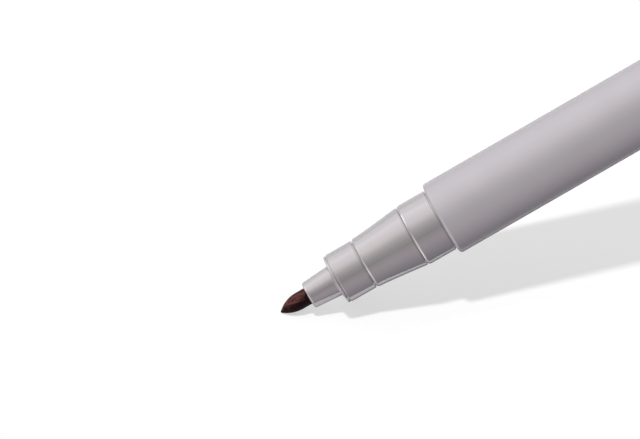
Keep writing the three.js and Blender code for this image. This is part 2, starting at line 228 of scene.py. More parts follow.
# Camera. Directions are given as they are seen, with right, up and towards the camera. The
# nearest and the farthest that it sees are in metres.
PEN_ANGLE = math.radians(29.95)
PEN_TOWARDS = 0.064
PEN_SIDEWAYS = math.sqrt(1 - PEN_TOWARDS ** 2)
FLOOR_ANGLE = math.radians(50)
FLOOR_LEAN = 0.15
PIXELS_PER_MM = 8.16
TIP_PIXEL = (282.6, 310.5)
IMAGE_SIZE = (640, 439)
LENS = 300.0
SENSOR = 36.0
NEAREST_SEEN = 0.01
FARTHEST_SEEN = 10

ALONG = Vector((
    math.cos(PEN_ANGLE) * PEN_SIDEWAYS,
    math.sin(PEN_ANGLE) * PEN_SIDEWAYS,
    PEN_TOWARDS,
))
FLOOR_NORMAL = Vector((FLOOR_LEAN, math.cos(FLOOR_ANGLE), math.sin(FLOOR_ANGLE))).normalized()
UPRIGHT = (FLOOR_NORMAL - ALONG * FLOOR_NORMAL.dot(ALONG)).normalized()
VIEW_TO_WORLD = Matrix((ALONG, UPRIGHT.cross(ALONG), UPRIGHT))

# Paper, with a colour for matt surfaces, one for the lens and one for mirrors, and a lift for the
# last two. Its margin and its clearance are in millimetres, and its reach is in metres.
PAPER_COLOUR = 0.2
PAPER_SEEN = 0.42
PAPER_MIRRORED = 0.66
PAPER_LIFT = 0.56
PAPER_MIRRORED_LIFT = 0.06
PAPER_MARGIN = 6.6
PAPER_REACH = 0.6
PAPER_CLEARANCE = 0.02

# Key light, with the direction towards it
KEY_DIRECTION = Vector((-0.149, 0.556, 0.818)).normalized()
KEY_STRENGTH = 2.2
KEY_WIDTH = math.radians(3.5)

# Studio. Each stop is an angle around the pen in degrees, from the camera's direction towards the
# upper left, and the level and the tint of the light there. Beside the pen it is dim below, with a
# darker gap a little under the camera, and brightest at the upper left.
MAUVE = (1.06, 1.0, 1.2)
ROSE = (1.09, 1.0, 1.05)
WARM = (1.05, 1.0, 0.98)
PLAIN = (1.01, 1.0, 1.0)
COOL = (1.0, 1.0, 1.08)
BESIDE = (
    (-180, 0.23, MAUVE), (-135, 0.22, MAUVE), (-60, 0.41, ROSE), (-44, 0.42, ROSE),
    (-24, 0.35, WARM), (-18, 0.28, WARM), (-12, 0.35, WARM), (-4, 0.36, WARM),
    (18, 0.58, WARM), (30, 0.8, WARM), (42, 0.97, WARM), (80, 1.21, PLAIN),
    (96, 1.06, PLAIN), (112, 1.02, PLAIN), (140, 0.58, COOL), (180, 0.23, MAUVE),
)
BEYOND = (
    (-180, 1.32, PLAIN), (-90, 1.19, PLAIN), (-30, 0.81, WARM),
    (30, 0.53, PLAIN), (90, 2.1, PLAIN), (180, 1.32, PLAIN),
)
BRIGHTEST = 4.0
BEYOND_FROM = 0.3
BEYOND_FULLY = 0.5
BEHIND = (0.03, 0.03, 0.03, 1)
BEHIND_FROM = 0.3
BEHIND_FULLY = 0.6
WHITE = (1, 1, 1, 1)


class Shade:
    """A socket. Arithmetic on it adds Math nodes."""

    def __init__(self, nodes, socket):
        self.nodes = nodes
        self.socket = socket

    def __add__(self, other):
        return self.nodes.maths("ADD", self, other)

    __radd__ = __add__

    def __sub__(self, other):
        return self.nodes.maths("SUBTRACT", self, other)

    def __rsub__(self, other):
        return self.nodes.maths("SUBTRACT", other, self)

    def __mul__(self, other):
        return self.nodes.maths("MULTIPLY", self, other)

    __rmul__ = __mul__

    def __truediv__(self, other):
        return self.nodes.maths("DIVIDE", self, other)

    def __rtruediv__(self, other):
        return self.nodes.maths("DIVIDE", other, self)

    def __gt__(self, other):
        return self.nodes.maths("GREATER_THAN", self, other)

    def __lt__(self, other):
        return self.nodes.maths("LESS_THAN", self, other)

    def beside(self, name):
        """Another output of the node that this socket belongs to."""
        return Shade(self.nodes, self.socket.node.outputs[name])


class Nodes:
    """A node tree that nodes are added to."""

    def __init__(self, tree):
        self.tree = tree

    def add(self, kind, settings=None, values=(), output=0):
        """Adds a node, sets it up, and fills its inputs from a list, or a dictionary by name."""
        made = self.tree.nodes.new(kind)
        for name, value in (settings or {}).items():
            if name == "stops":
                self.set_stops(made.color_ramp.elements, value)
            else:
                setattr(made, name, value)
        for name, value in values.items() if isinstance(values, dict) else enumerate(values):
            if isinstance(value, Shade):
                self.tree.links.new(value.socket, made.inputs[name])
            else:
                made.inputs[name].default_value = value
        return Shade(self, made.outputs[output]) if made.outputs else None

    def set_stops(self, elements, stops):
        """Gives a ramp its stops, each a position from 0 to 1 and a colour."""
        while len(elements) < len(stops):
            elements.new(0.5)
        for element, (position, colour) in zip(elements, stops):
            element.position = position
            element.color = colour

    def maths(self, operation, *values):
        return self.add("ShaderNodeMath", {"operation": operation}, values)

    def dot(self, first, second):
        settings = {"operation": "DOT_PRODUCT"}
        return self.add("ShaderNodeVectorMath", settings, [first, second], "Value")

    def noise(self, place, scale, detail, roughness=0.5, slant=(0.0, 0.0, 0.0)):
        """Noise that is scaled along each axis and then slanted about each."""
        mapping = {"Vector": place, "Rotation": slant, "Scale": scale}
        mapped = self.add("ShaderNodeMapping", {}, mapping)
        values = {"Vector": mapped, "Scale": 1.0, "Detail": detail, "Roughness": roughness}
        return self.add("ShaderNodeTexNoise", {}, values, "Fac")

    def between(self, value, low, high, to_low=0.0, to_high=1.0):
        """Maps the range from low to high to another range and stops at its ends."""
        return self.add("ShaderNodeMapRange", {}, {
            "Value": value,
            "From Min": low,
            "From Max": high,
            "To Min": to_low,
            "To Max": to_high,
        })

    def blend(self, share, first, second):
        """A colour that goes from the first to the second as the share rises."""
        # A Mix node's colours and colour result come after those for numbers and vectors.
        values = {0: share, 6: first, 7: second}
        return self.add("ShaderNodeMix", {"data_type": "RGBA"}, values, 2)

    def bump(self, height, distance, strength):
        values = {"Height": height, "Distance": distance, "Strength": strength}
        return self.add("ShaderNodeBump", {}, values, "Normal")


def new_material(name):
    """A material with empty nodes."""
    material = bpy.data.materials.new(name)
    material.use_nodes = True
    material.node_tree.nodes.clear()
    return material, Nodes(material.node_tree)


def finish_material(nodes, values):
    """Gives the material its surface, with values for the Principled BSDF."""
    surface = nodes.add("ShaderNodeBsdfPrincipled", {}, values)
    nodes.add("ShaderNodeOutputMaterial", {}, {"Surface": surface})


def srgb(red, green, blue):
    """Linear values of a colour that is given as it looks on a screen, from 0 to 255."""
    def linear(value):
        share = value / 255
        return share / 12.92 if share <= 0.04045 else ((share + 0.055) / 1.055) ** 2.4
    return (linear(red), linear(green), linear(blue), 1.0)


def moulded_plastic(name, colour, roughness, grain, metallic=0.0, scuffs=0.0):
    """Plastic with a fine grain, faint flow lines along the pen and, if asked for, light scuffs."""
    material, nodes = new_material(name)
    place = nodes.add("ShaderNodeTexCoord", output="Object")
    cloud = nodes.noise(place, CLOUD_SCALE, detail=2.0)
    fine = nodes.noise(place, GRAIN_SCALE, detail=2.0)
    flow = nodes.noise(place, FLOW_SCALE, detail=3.0)
    # A scuff is the narrow ridge of a long, slanting noise.
    slanting = nodes.noise(place, SCUFF_SCALE, detail=1.0, slant=SCUFF_SLANT)
    ridge = nodes.maths("ABSOLUTE", slanting - 0.5)
    scuffed = nodes.between(cloud, SCUFFED_FROM, SCUFFED_FULLY)
    scuff = nodes.between(ridge, 0.0, SCUFF_WIDTH, to_low=1.0, to_high=0.0) * scuffed * scuffs
    uneven = (flow - 0.5) * FLOW_IN_ROUGHNESS + (cloud - 0.5) * CLOUD_IN_ROUGHNESS
    height = fine * grain + flow * (grain * FLOW_IN_GRAIN) - scuff
    darker = tuple(channel * CLOUD_DARKEST for channel in colour[:3]) + (1.0,)
    finish_material(nodes, {
        "Base Color": nodes.blend(cloud, darker, colour),
        "Metallic": metallic,
        "Roughness": roughness + uneven + scuff,
        "Normal": nodes.bump(height, PLASTIC_BUMP, PLASTIC_BUMP_STRENGTH),
    })
    return material


def inked_fibre(name, light, dark, collar, soaked_and_shaded=0.0):
    """Pressed fibre, drawn lengthwise. It is darkest on the side that last met the paper, its lower
    side, partly from ink and partly as painted shade.

    It is also darker just before the collar, a station along the pen, partly from ink and partly as
    painted contact shade. A low number for its last argument makes it lighter.
    """
    material, nodes = new_material(name)
    place = nodes.add("ShaderNodeTexCoord", output="Object")
    strands = nodes.noise(place, STRAND_SCALE, detail=4.0, roughness=0.7)
    specks = nodes.noise(place, SPECK_SCALE, detail=3.0, roughness=0.6)
    # Painted shade, together with some ink: the fibre turns darker on its lower side.
    side = (nodes.dot(place, DRY_LIT_SIDE) - AXIS_HEIGHT * DRY_LIT_SIDE.z) / (NIB_RADIUS * MM)
    station = (nodes.add("ShaderNodeSeparateXYZ", {}, [place], "X") - TIP) / MM
    # Painted contact shade, together with some ink: the fibre turns darker just before the collar.
    ink_and_shade_at_collar = nodes.between(
        station, collar - COLLAR_INK_SHADE_FROM, collar - COLLAR_INK_SHADE_FULLY, to_high=COLLAR_INK_SHADE
    )
    ragged = side - soaked_and_shaded - ink_and_shade_at_collar + (strands - 0.5) * DARK_EDGE_RAGGEDNESS
    dry_and_lit = nodes.between(ragged, WET_SHADED_BELOW, DRY_LIT_ABOVE)
    mixed = strands * STRANDS_IN_COLOUR + specks * (1 - STRANDS_IN_COLOUR)
    share = nodes.between(mixed, DARK_STRAND, LIGHT_STRAND) * dry_and_lit
    height = strands * STRANDS_IN_BUMP + specks * (1 - STRANDS_IN_BUMP)
    finish_material(nodes, {
        "Base Color": nodes.blend(share, dark, light),
        "Roughness": WET_ROUGHNESS + dry_and_lit * DRY_ROUGHNESS + (specks - 0.5) * SPECK_ROUGHNESS,
        "Specular IOR Level": FIBRE_GLOSS,
        "Normal": nodes.bump(height, FIBRE_BUMP, FIBRE_BUMP_STRENGTH),
    })
    return material


SATIN_GREY = moulded_plastic(
    "satin_grey_plastic", srgb(180, 176, 181), roughness=0.22, grain=0.25, metallic=0.3
)
POLISHED_GREY = moulded_plastic(
    "polished_grey_plastic", srgb(198, 194, 197), roughness=0.12, grain=0.12, metallic=0.85
)
BLACK = moulded_plastic("black_plastic", srgb(27, 27, 30), roughness=0.22, grain=0.25, scuffs=0.1)
NATURAL = moulded_plastic("natural_plastic", srgb(214, 212, 204), roughness=0.45, grain=0.4)
FILM = moulded_plastic("clear_film", srgb(214, 219, 224), roughness=0.18, grain=0.1)
# The dark colour stands for ink together with painted shade.
INKED_NIB = inked_fibre(
    "inked_nib_fibre", srgb(108, 68, 62), srgb(26, 5, 11), collar=ends("nose")[0]
)
RESERVOIR = inked_fibre(
    "inked_reservoir_fibre", srgb(64, 50, 58), srgb(24, 19, 24),
    collar=ends("barrel")[1], soaked_and_shaded=-6.0,
)


def rounded(corners):
    """Points of an outline of [station, radius] or [station, radius, rounding] corners."""
    points = []
    for i, corner in enumerate(corners):
        here = Vector(corner[:2])
        rounding = corner[2] if len(corner) > 2 else 0
        if not rounding:
            points.append(here)
            continue
        before = Vector(corners[i - 1][:2]) - here
        after = Vector(corners[(i + 1) % len(corners)][:2]) - here
        longest = ROUNDING_REACH * min(before.length, after.length)
        before.normalize()
        after.normalize()
        half = before.angle(after) / 2
        reach = min(rounding / math.tan(half), longest)
        centre = here + (before + after).normalized() * (reach / math.cos(half))
        start = here + before * reach - centre
        turn = math.pi - 2 * half
        if before.x * after.y - before.y * after.x > 0:
            turn = -turn
        steps = max(2, round(abs(turn) / (math.pi / 2) * QUARTER_STEPS))
        # A point just outside each end of the arc keeps the shading of the flats level.
        support = min(SUPPORT_OF_ROUNDING * reach * math.tan(half), SUPPORT_OF_REACH * longest)
        points.append(here + before * (reach + support))
        for k in range(steps + 1):
            angle = turn * k / steps
            cosine, sine = math.cos(angle), math.sin(angle)
            points.append(centre + Vector((
                start.x * cosine - start.y * sine,
                start.x * sine + start.y * cosine,
            )))
        points.append(here + after * (reach + support))
    return points


def cut_up(points):
    """Cuts long flats into shorter ones, because long, thin faces render unevenly."""
    cut = []
    for first, second in zip(points, points[1:]):
        steps = math.ceil((second - first).length / LONGEST_FACE)
        cut += [first.lerp(second, k / steps) for k in range(steps)]
    return cut + [points[-1]]


def turned_tree():
    """Geometry nodes that turn an outline about the pen's axis."""
    tree = bpy.data.node_groups.new("turned", "GeometryNodeTree")
    for name, kind in (
        ("Outline", "NodeSocketGeometry"),
        ("Steps", "NodeSocketInt"),
        ("Axis height", "NodeSocketFloat"),
        ("Smooth angle", "NodeSocketFloat"),
        ("Material", "NodeSocketMaterial"),
    ):
        tree.interface.new_socket(name, in_out="INPUT", socket_type=kind)
    tree.interface.new_socket("Piece", in_out="OUTPUT", socket_type="NodeSocketGeometry")
    nodes = Nodes(tree)
    outline = nodes.add("NodeGroupInput", output="Outline")
    count = nodes.add("GeometryNodeAttributeDomainSize", {"component": "MESH"}, {
        "Geometry": outline,
    }, "Point Count")
    grid = nodes.add("GeometryNodeMeshGrid", {}, {
        "Size X": 1.0,
        "Size Y": 1.0,
        "Vertices X": count,
        "Vertices Y": outline.beside("Steps") + 1,
    }, "Mesh")
    place = nodes.add("GeometryNodeInputPosition")
    lengthwise = nodes.add("ShaderNodeSeparateXYZ", {}, [place], "X")
    number = (lengthwise + 0.5) * (count - 1)
    index = nodes.add("FunctionNodeFloatToInt", {"rounding_mode": "ROUND"}, [number])
    settings = {"data_type": "FLOAT_VECTOR", "domain": "POINT"}
    corner = nodes.add("GeometryNodeSampleIndex", settings, {
        "Geometry": outline,
        "Value": place,
        "Index": index,
    })
    station = nodes.add("ShaderNodeSeparateXYZ", {}, [corner], "X")
    radius = station.beside("Z")
    angle = (lengthwise.beside("Y") + 0.5) * math.tau
    sideways = radius * nodes.maths("SINE", angle)
    height = radius * nodes.maths("COSINE", angle) + outline.beside("Axis height")
    spot = nodes.add("ShaderNodeCombineXYZ", {}, [station, sideways, height])
    wrapped = nodes.add("GeometryNodeSetPosition", {}, {"Geometry": grid, "Position": spot})
    closed = nodes.add("GeometryNodeMergeByDistance", {}, {
        "Geometry": wrapped,
        "Distance": WELD_DISTANCE,
    })
    smooth = nodes.add("GeometryNodeSetShadeSmooth", {"domain": "FACE"}, {
        "Geometry": closed,
        "Shade Smooth": True,
    })
    bend = nodes.add("GeometryNodeInputMeshEdgeAngle", output="Unsigned Angle")
    crisp = nodes.add("GeometryNodeSetShadeSmooth", {"domain": "EDGE"}, {
        "Geometry": smooth,
        "Selection": bend > outline.beside("Smooth angle"),
        "Shade Smooth": False,
    })
    real = nodes.add("GeometryNodeRealizeInstances", {}, {"Geometry": crisp})
    dressed = nodes.add("GeometryNodeSetMaterial", {}, {
        "Geometry": real,
        "Material": outline.beside("Material"),
    })
    nodes.add("NodeGroupOutput", {}, {"Piece": dressed})
    return tree


TURNED = turned_tree()
TURNED_INPUTS = {
    item.name: item.identifier for item in TURNED.interface.items_tree if item.in_out == "INPUT"
}


def add_object(name, data):
    """An object in the scene with a mesh, a camera or a light."""
    made = bpy.data.objects.new(name, data)
    bpy.context.scene.collection.objects.link(made)
    return made


def turned(name, corners, material):
    """A turned piece.

    A hollow piece's outline closes on itself, and a solid one's starts and ends on the axis.
    """
    points = rounded(corners)
    if points[0].y > 0:
        points.append(points[0])
    points = cut_up(points)
    mesh = bpy.data.meshes.new(name)
    mesh.from_pydata(
        [(TIP + point.x * MM, 0.0, point.y * MM) for point in points],
        [(i, i + 1) for i in range(len(points) - 1)],
        [],
    )
    piece = add_object(name, mesh)
    modifier = piece.modifiers.new("turned", "NODES")
    modifier.node_group = TURNED
    modifier[TURNED_INPUTS["Steps"]] = TURN_STEPS
    modifier[TURNED_INPUTS["Axis height"]] = AXIS_HEIGHT
    modifier[TURNED_INPUTS["Smooth angle"]] = SMOOTH_ANGLE
    modifier[TURNED_INPUTS["Material"]] = material
    graph = bpy.context.evaluated_depsgraph_get()
    plain = bpy.data.meshes.new_from_object(piece.evaluated_get(graph), depsgraph=graph)
    piece.modifiers.clear()
    piece.data = plain
    # The nodes leave an empty slot before the material's.
    plain.materials.clear()
    plain.materials.append(material)
    plain.polygons.foreach_set("material_index", [0] * len(plain.polygons))
    return piece


def stands_for(piece, node_name, body):
    """The piece takes a CAD node's place and moves with a body."""
    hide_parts(node_name)
    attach(piece, body)


def make_nib():
    """A fibre rod whose flank curves in to a small round tip, which gives a little to the paper."""
    distance = NIB_FLANK_RADIUS - NIB_TIP_RADIUS
    drop = NIB_FLANK_RADIUS - NIB_RADIUS
    flank = math.acos(drop / distance)
    point_length = NIB_TIP_RADIUS + distance * math.sin(flank)
    end = ends("nib")[1]
    outline = []
    for i in range(QUARTER_STEPS):
        angle = (math.pi / 2 - flank) * i / QUARTER_STEPS
        station = NIB_TIP_RADIUS * (1 - math.cos(angle))
        outline.append([station - NIB_PROUD, NIB_TIP_RADIUS * math.sin(angle)])
    for i in range(FLANK_STEPS + 1):
        angle = flank * (1 - i / FLANK_STEPS)
        station = point_length - NIB_FLANK_RADIUS * math.sin(angle)
        outline.append([station - NIB_PROUD, NIB_FLANK_RADIUS * math.cos(angle) - drop])
    outline += [
        [point_length + SOFT, NIB_RADIUS],
        [end, NIB_RADIUS, NIB_END_ROUNDING],
        [end, 0],
    ]
    piece = turned("nib_visual", outline, INKED_NIB)
    for vertex in piece.data.vertices:
        share = 1 - ((vertex.co.x - TIP) / MM + NIB_PROUD) / NIB_DROOP_LENGTH
        vertex.co.z -= NIB_DROOP * MM * max(0, share) ** 2
    stands_for(piece, "nib", "pen_body")
    return piece


def cone_flank(start, end):
    """The flank leaves the bevel level and opens towards the cap seat."""
    control = start + CONE_FLARE_LENGTH
    points = []
    for i in range(1, FLANK_STEPS + 1):
        t = i / FLANK_STEPS
        station = (1 - t) ** 2 * start + 2 * t * (1 - t) * control + t * t * end
        points.append([station, CONE_FRONT_RADIUS + t * t * (CONE_REAR_RADIUS - CONE_FRONT_RADIUS)])
    return points


def seat_bevel(seat):
    """A rounded bevel that starts steep and ends level where the cap seat starts."""
    curve = SEAT_BEVEL_LENGTH / math.sin(SEAT_BEVEL_STEEPEST)
    points = []
    for i in range(QUARTER_STEPS + 1):
        angle = SEAT_BEVEL_STEEPEST * (1 - i / QUARTER_STEPS)
        drop = curve * (1 - math.cos(angle))
        points.append([seat - curve * math.sin(angle), SEAT_RADIUS - drop])
    return points


def spigot_beads(stop, neck):
    """Beads that hold the nose in the barrel."""
    beads = []
    for i in range(SPIGOT_BEAD_COUNT):
        start = stop + (i + 1) * SPIGOT_BEAD_PITCH
        beads += [
            [start - SPIGOT_BEAD_HEIGHT, neck],
            [start, SPIGOT_RADIUS],
            [start + SPIGOT_BEAD_LENGTH, SPIGOT_RADIUS],
            [start + SPIGOT_BEAD_LENGTH + SPIGOT_BEAD_HEIGHT, neck],
        ]
    return beads


def make_nose():
    """One moulding: nib holder, shoulder, land, cone, cap seat and the spigot in the barrel."""
    mouth, end = ends("nose")
    mouth -= HOLDER_PROUD
    shoulder = mouth + HOLDER_LENGTH
    face_end = shoulder + SHOULDER_FACE_LENGTH
    line = face_end + SHOULDER_RIM_LENGTH
    line_end = line + SHOULDER_LINE_WIDTH
    line_floor = SHOULDER_RADIUS - SHOULDER_LINE_DEPTH
    seal_groove = line_end + LAND_LENGTH
    seal_floor = LAND_RADIUS - SEAL_GROOVE_DEPTH
    seal_bevel = seal_groove + SEAL_GROOVE_WIDTH
    cone = seal_bevel + SEAL_BEVEL_LENGTH
    seat_groove = cone + CONE_LENGTH
    seat_floor = CONE_REAR_RADIUS - SEAT_GROOVE_DEPTH
    seat_bevel_start = seat_groove + SEAT_GROOVE_WIDTH
    stop = ends("barrel")[0] - CRISP
    snap_groove = stop - NOSE_SNAP_WIDTH
    snap_floor = SEAT_RADIUS - NOSE_SNAP_DEPTH
    neck = SPIGOT_RADIUS - SPIGOT_BEAD_HEIGHT
    socket = end - SOCKET_DEPTH
    cavity = mouth + CAVITY_START
    piece = turned("nose_visual", [
        [end, SOCKET_RADIUS],
        [socket, SOCKET_RADIUS],
        [socket, CAVITY_RADIUS],
        [cavity + CAVITY_CONE_LENGTH, CAVITY_RADIUS],
        [cavity, MOUTH_BORE_RADIUS],
        [mouth, MOUTH_BORE_RADIUS, MOUTH_BORE_ROUNDING],
        [mouth, HOLDER_FRONT_RADIUS, HOLDER_ROUNDING],
        [shoulder, HOLDER_REAR_RADIUS, SOFT],
        [face_end, SHOULDER_RADIUS, SHOULDER_ROUNDING],
        [line, SHOULDER_RADIUS],
        [line + CRISP, line_floor],
        [line_end - CRISP, line_floor],
        [line_end, LAND_RADIUS - LAND_CHAMFER, CRISP],
        [line_end + LAND_CHAMFER, LAND_RADIUS, SOFT],
        [seal_groove, LAND_RADIUS, CRISP],
        [seal_groove + CRISP, seal_floor],
        [seal_bevel - CRISP, seal_floor],
        [seal_bevel, CONE_FRONT_RADIUS - SEAL_BEVEL_HEIGHT, CRISP],
        [cone - CRISP, CONE_FRONT_RADIUS, SEAL_BEVEL_ROUNDING],
        *cone_flank(cone, seat_groove),
        [seat_groove + CRISP, seat_floor],
        [seat_bevel_start - CRISP, seat_floor],
        *seat_bevel(seat_bevel_start + SEAT_BEVEL_LENGTH),
        [snap_groove, SEAT_RADIUS, CRISP],
        [snap_groove + CRISP, snap_floor],
        [stop, snap_floor],
        [stop, neck],
        *spigot_beads(stop, neck),
        [end, neck],
    ], POLISHED_GREY)
    stands_for(piece, "nose", "pen_body")


def make_barrel():
    """A plain tube with a rounded rim at the nose."""
    start, end = ends("barrel")
    piece = turned("barrel_visual", [
        [end, BARREL_BORE_RADIUS],
        [start, BARREL_BORE_RADIUS],
        [start, BARREL_RADIUS, BARREL_FRONT_ROUNDING],
        [end, BARREL_RADIUS, REAR_ROUNDING],
    ], SATIN_GREY)
    stands_for(piece, "barrel", "pen_body")


def make_end_plug():
    """The plug closes the barrel, and its stub repeats the cap seat of the nose."""
    start, end = ends("end_plug")
    flange = start + PLUG_SPIGOT_LENGTH
    flange_end = flange + PLUG_FLANGE_LENGTH
    snap_end = flange_end + PLUG_SNAP_WIDTH
    snap_floor = SEAT_RADIUS - PLUG_SNAP_DEPTH
    piece = turned("end_plug_visual", [
        [end - PLUG_END_WALL, 0],
        [end - PLUG_END_WALL, PLUG_STUB_BORE_RADIUS, PLUG_ROUNDING],
        [flange_end, PLUG_STUB_BORE_RADIUS],
        [flange, PLUG_SPIGOT_BORE_RADIUS],
        [start, PLUG_SPIGOT_BORE_RADIUS],
        [start, SPIGOT_RADIUS, SOFT],
        [flange, SPIGOT_RADIUS],
        [flange, BARREL_RADIUS, REAR_ROUNDING],
        [flange_end, BARREL_RADIUS, REAR_ROUNDING],
        [flange_end, snap_floor],
        [snap_end, snap_floor],
        [snap_end, SEAT_RADIUS, SOFT],
        [end, SEAT_RADIUS, PLUG_ROUNDING],
        [end, 0],
    ], BLACK)
    stands_for(piece, "end_plug", "pen_body")


def cap_radius(station):
    """The radius of the cap's tapered outside, by the station from its mouth."""
    return CAP_MOUTH_RADIUS + (CAP_END_RADIUS - CAP_MOUTH_RADIUS) * station / CAP_LENGTH


def clip_outlines():
    """The clip's underside and top from the side, with a foot that comes close to the cap."""
    root_start = CLIP_ROOT_END - CLIP_ROOT_LENGTH
    foot_rounding = CLIP_FOOT_LENGTH / 2
    foot_start = CLIP_FREE_END + CLIP_FOOT_SETBACK
    foot_middle = foot_start + CLIP_FOOT_LENGTH / 2
    foot_end = foot_start + CLIP_FOOT_LENGTH
    sunk = CAP_END_RADIUS - CLIP_SINK

    def under(station):
        return cap_radius(station) + CLIP_GAP

    def over(station):
        return under(station) + CLIP_THICKNESS

    underside = rounded([
        [CLIP_FREE_END, under(CLIP_FREE_END) + CLIP_LIFT],
        [foot_start, under(foot_start) + CLIP_LIFT / 2, foot_rounding],
        [foot_middle, cap_radius(foot_middle) + CLIP_FOOT_GAP, foot_rounding],
        [foot_end, under(foot_end), foot_rounding],
        [root_start - CLIP_WALL_LEAN, under(root_start), CLIP_GAP / 2],
        [root_start, sunk],
        [CLIP_ROOT_END, sunk],
    ])
    top = rounded([
        [CLIP_FREE_END, over(CLIP_FREE_END)],
        [CLIP_ROOT_END - CLIP_WALL_LEAN, over(CLIP_ROOT_END), CLIP_ROOT_ROUNDING],
        [CLIP_ROOT_END, over(CLIP_ROOT_END) - CLIP_ROOT_ROUNDING - CLIP_TOP_EDGE],
    ])
    return underside, top


def radius_on(outline, station):
    """The radius of an outline whose stations rise, at a station."""
    for first, second in zip(outline, outline[1:]):
        if station <= second.x:
            share = (station - first.x) / (second.x - first.x)
            return first.y + (second.y - first.y) * max(0.0, share)
    return outline[-1].y


def clip_half_width(station):
    """Half the width of the clip, which tapers towards its free end."""
    share = (station - CLIP_SIDES_START) / (CLIP_ROOT_END - CLIP_SIDES_START)
    return (CLIP_TIP_WIDTH + (CLIP_ROOT_WIDTH - CLIP_TIP_WIDTH) * share) / 2


def clip_plan(points):
    """Spots around the clip seen from above, with their outward directions.

    It has a round free end, tapered sides and a root with rounded corners. The sides also have
    spots at the stations of the given points.
    """
    side = CLIP_SIDES_END - CLIP_SIDES_START
    stations = {CLIP_SIDES_START + side * i / CLIP_SIDE_STEPS for i in range(CLIP_SIDE_STEPS + 1)}
    stations |= {point.x for point in points if CLIP_SIDES_START < point.x < CLIP_SIDES_END}
    half = []
    for i in range(CLIP_TIP_STEPS + 1):
        angle = math.pi / 2 * i / CLIP_TIP_STEPS
        outward = Vector((-math.cos(angle), math.sin(angle)))
        half.append((Vector((CLIP_SIDES_START, 0)) + outward * (CLIP_TIP_WIDTH / 2), outward))
    for station in sorted(stations)[1:]:
        half.append((Vector((station, clip_half_width(station))), Vector((0, 1))))
    corner = Vector((CLIP_SIDES_END, clip_half_width(CLIP_SIDES_END) - CLIP_CORNER_ROUNDING))
    for i in range(1, QUARTER_STEPS + 1):
        angle = math.pi / 2 * i / QUARTER_STEPS
        outward = Vector((math.sin(angle), math.cos(angle)))
        half.append((corner + outward * CLIP_CORNER_ROUNDING, outward))
    half.append((Vector((CLIP_ROOT_END, 0)), Vector((1, 0))))
    other_half = [
        (Vector((spot.x, -spot.y)), Vector((outward.x, -outward.y)))
        for spot, outward in half[-2:0:-1]
    ]
    return half + other_half


def clip_loops(underside, top):
    """Loops of the clip, from the middle of its top to the middle of its underside.

    Each says how far it is drawn in towards the middle line, how far its edge is rounded off
    inwards and downwards, and which outline it lies on.
    """
    shares = [i / CLIP_INNER_STEPS for i in range(1, CLIP_INNER_STEPS + 1)]
    quarter = [math.pi / 2 * i / QUARTER_STEPS for i in range(QUARTER_STEPS + 1)]

    def edge(size, down, outline, angles):
        return [
            (0, size * (1 - math.sin(angle)), down * size * (1 - math.cos(angle)), outline)
            for angle in angles
        ]

    return [
        *((share, CLIP_TOP_EDGE, 0.0, top) for share in reversed(shares)),
        *edge(CLIP_TOP_EDGE, 1, top, quarter),
        *edge(CLIP_BOTTOM_EDGE, -1, underside, reversed(quarter)),
        *((share, CLIP_BOTTOM_EDGE, 0.0, underside) for share in shares),
    ]


def clip_mesh():
    """The clip, with faces that are concentric with the cap."""
    underside, top = clip_outlines()
    plan = clip_plan(underside + top)
    start = ends("cap")[0]
    last_middle = CLIP_ROOT_END - clip_half_width(CLIP_ROOT_END)
    mesh = bmesh.new()
    rings = []
    for drawn, inset, drop, outline in clip_loops(underside, top):
        ring = []
        for spot, outward in plan:
            edge = spot - outward * inset
            middle = Vector((min(max(edge.x, CLIP_SIDES_START), last_middle), 0))
            flat = edge.lerp(middle, drawn)
            radius = radius_on(outline, flat.x) - drop
            height = math.sqrt(radius ** 2 - flat.y ** 2)
            ring.append(mesh.verts.new((
                TIP + (start + flat.x) * MM,
                flat.y * MM,
                AXIS_HEIGHT + height * MM,
            )))
        rings.append(ring)
    for first, second in zip(rings, rings[1:]):
        for i in range(len(plan)):
            j = (i + 1) % len(plan)
            mesh.faces.new((first[i], first[j], second[j], second[i]))
    bmesh.ops.remove_doubles(mesh, verts=mesh.verts, dist=WELD_DISTANCE)
    bmesh.ops.dissolve_degenerate(mesh, edges=mesh.edges, dist=SLIVER_LENGTH)
    bmesh.ops.recalc_face_normals(mesh, faces=mesh.faces)
    for face in mesh.faces:
        face.smooth = True
    for edge in mesh.edges:
        edge.smooth = edge.calc_face_angle(0) < SMOOTH_ANGLE
    return mesh


def make_cap():
    """A cup with a snap bead at its mouth, a pocket for the inner cap and the clip on top."""
    start, end = ends("cap")
    pocket, pocket_end = ends("inner_cap")
    pocket_radius = INNER_CAP_RADIUS + CRISP
    well_radius = pocket_radius - CAP_SHOULDER_HEIGHT
    bore = CAP_BEAD_RADIUS + CAP_BEAD_HEIGHT
    bead = start + CAP_MOUTH_CHAMFER
    bead_end = bead + CAP_BEAD_LENGTH
    piece = turned("cap_visual", [
        [end - CAP_END_WALL, 0],
        [end - CAP_END_WALL, well_radius, CAP_END_ROUNDING],
        [pocket_end, well_radius],
        [pocket_end, pocket_radius],
        [pocket, pocket_radius],
        [pocket, bore],
        [bead_end + CAP_BEAD_HEIGHT, bore, CRISP],
        [bead_end, CAP_BEAD_RADIUS, CRISP],
        [bead, CAP_BEAD_RADIUS, CRISP],
        [start, CAP_BEAD_RADIUS + CAP_MOUTH_CHAMFER, CRISP],
        [start, CAP_MOUTH_RADIUS, CAP_MOUTH_ROUNDING],
        [end, CAP_END_RADIUS, CAP_END_ROUNDING],
        [end, 0],
    ], BLACK)
    clip = clip_mesh()
    clip.from_mesh(piece.data)
    clip.to_mesh(piece.data)
    clip.free()
    stands_for(piece, "cap", "cap")


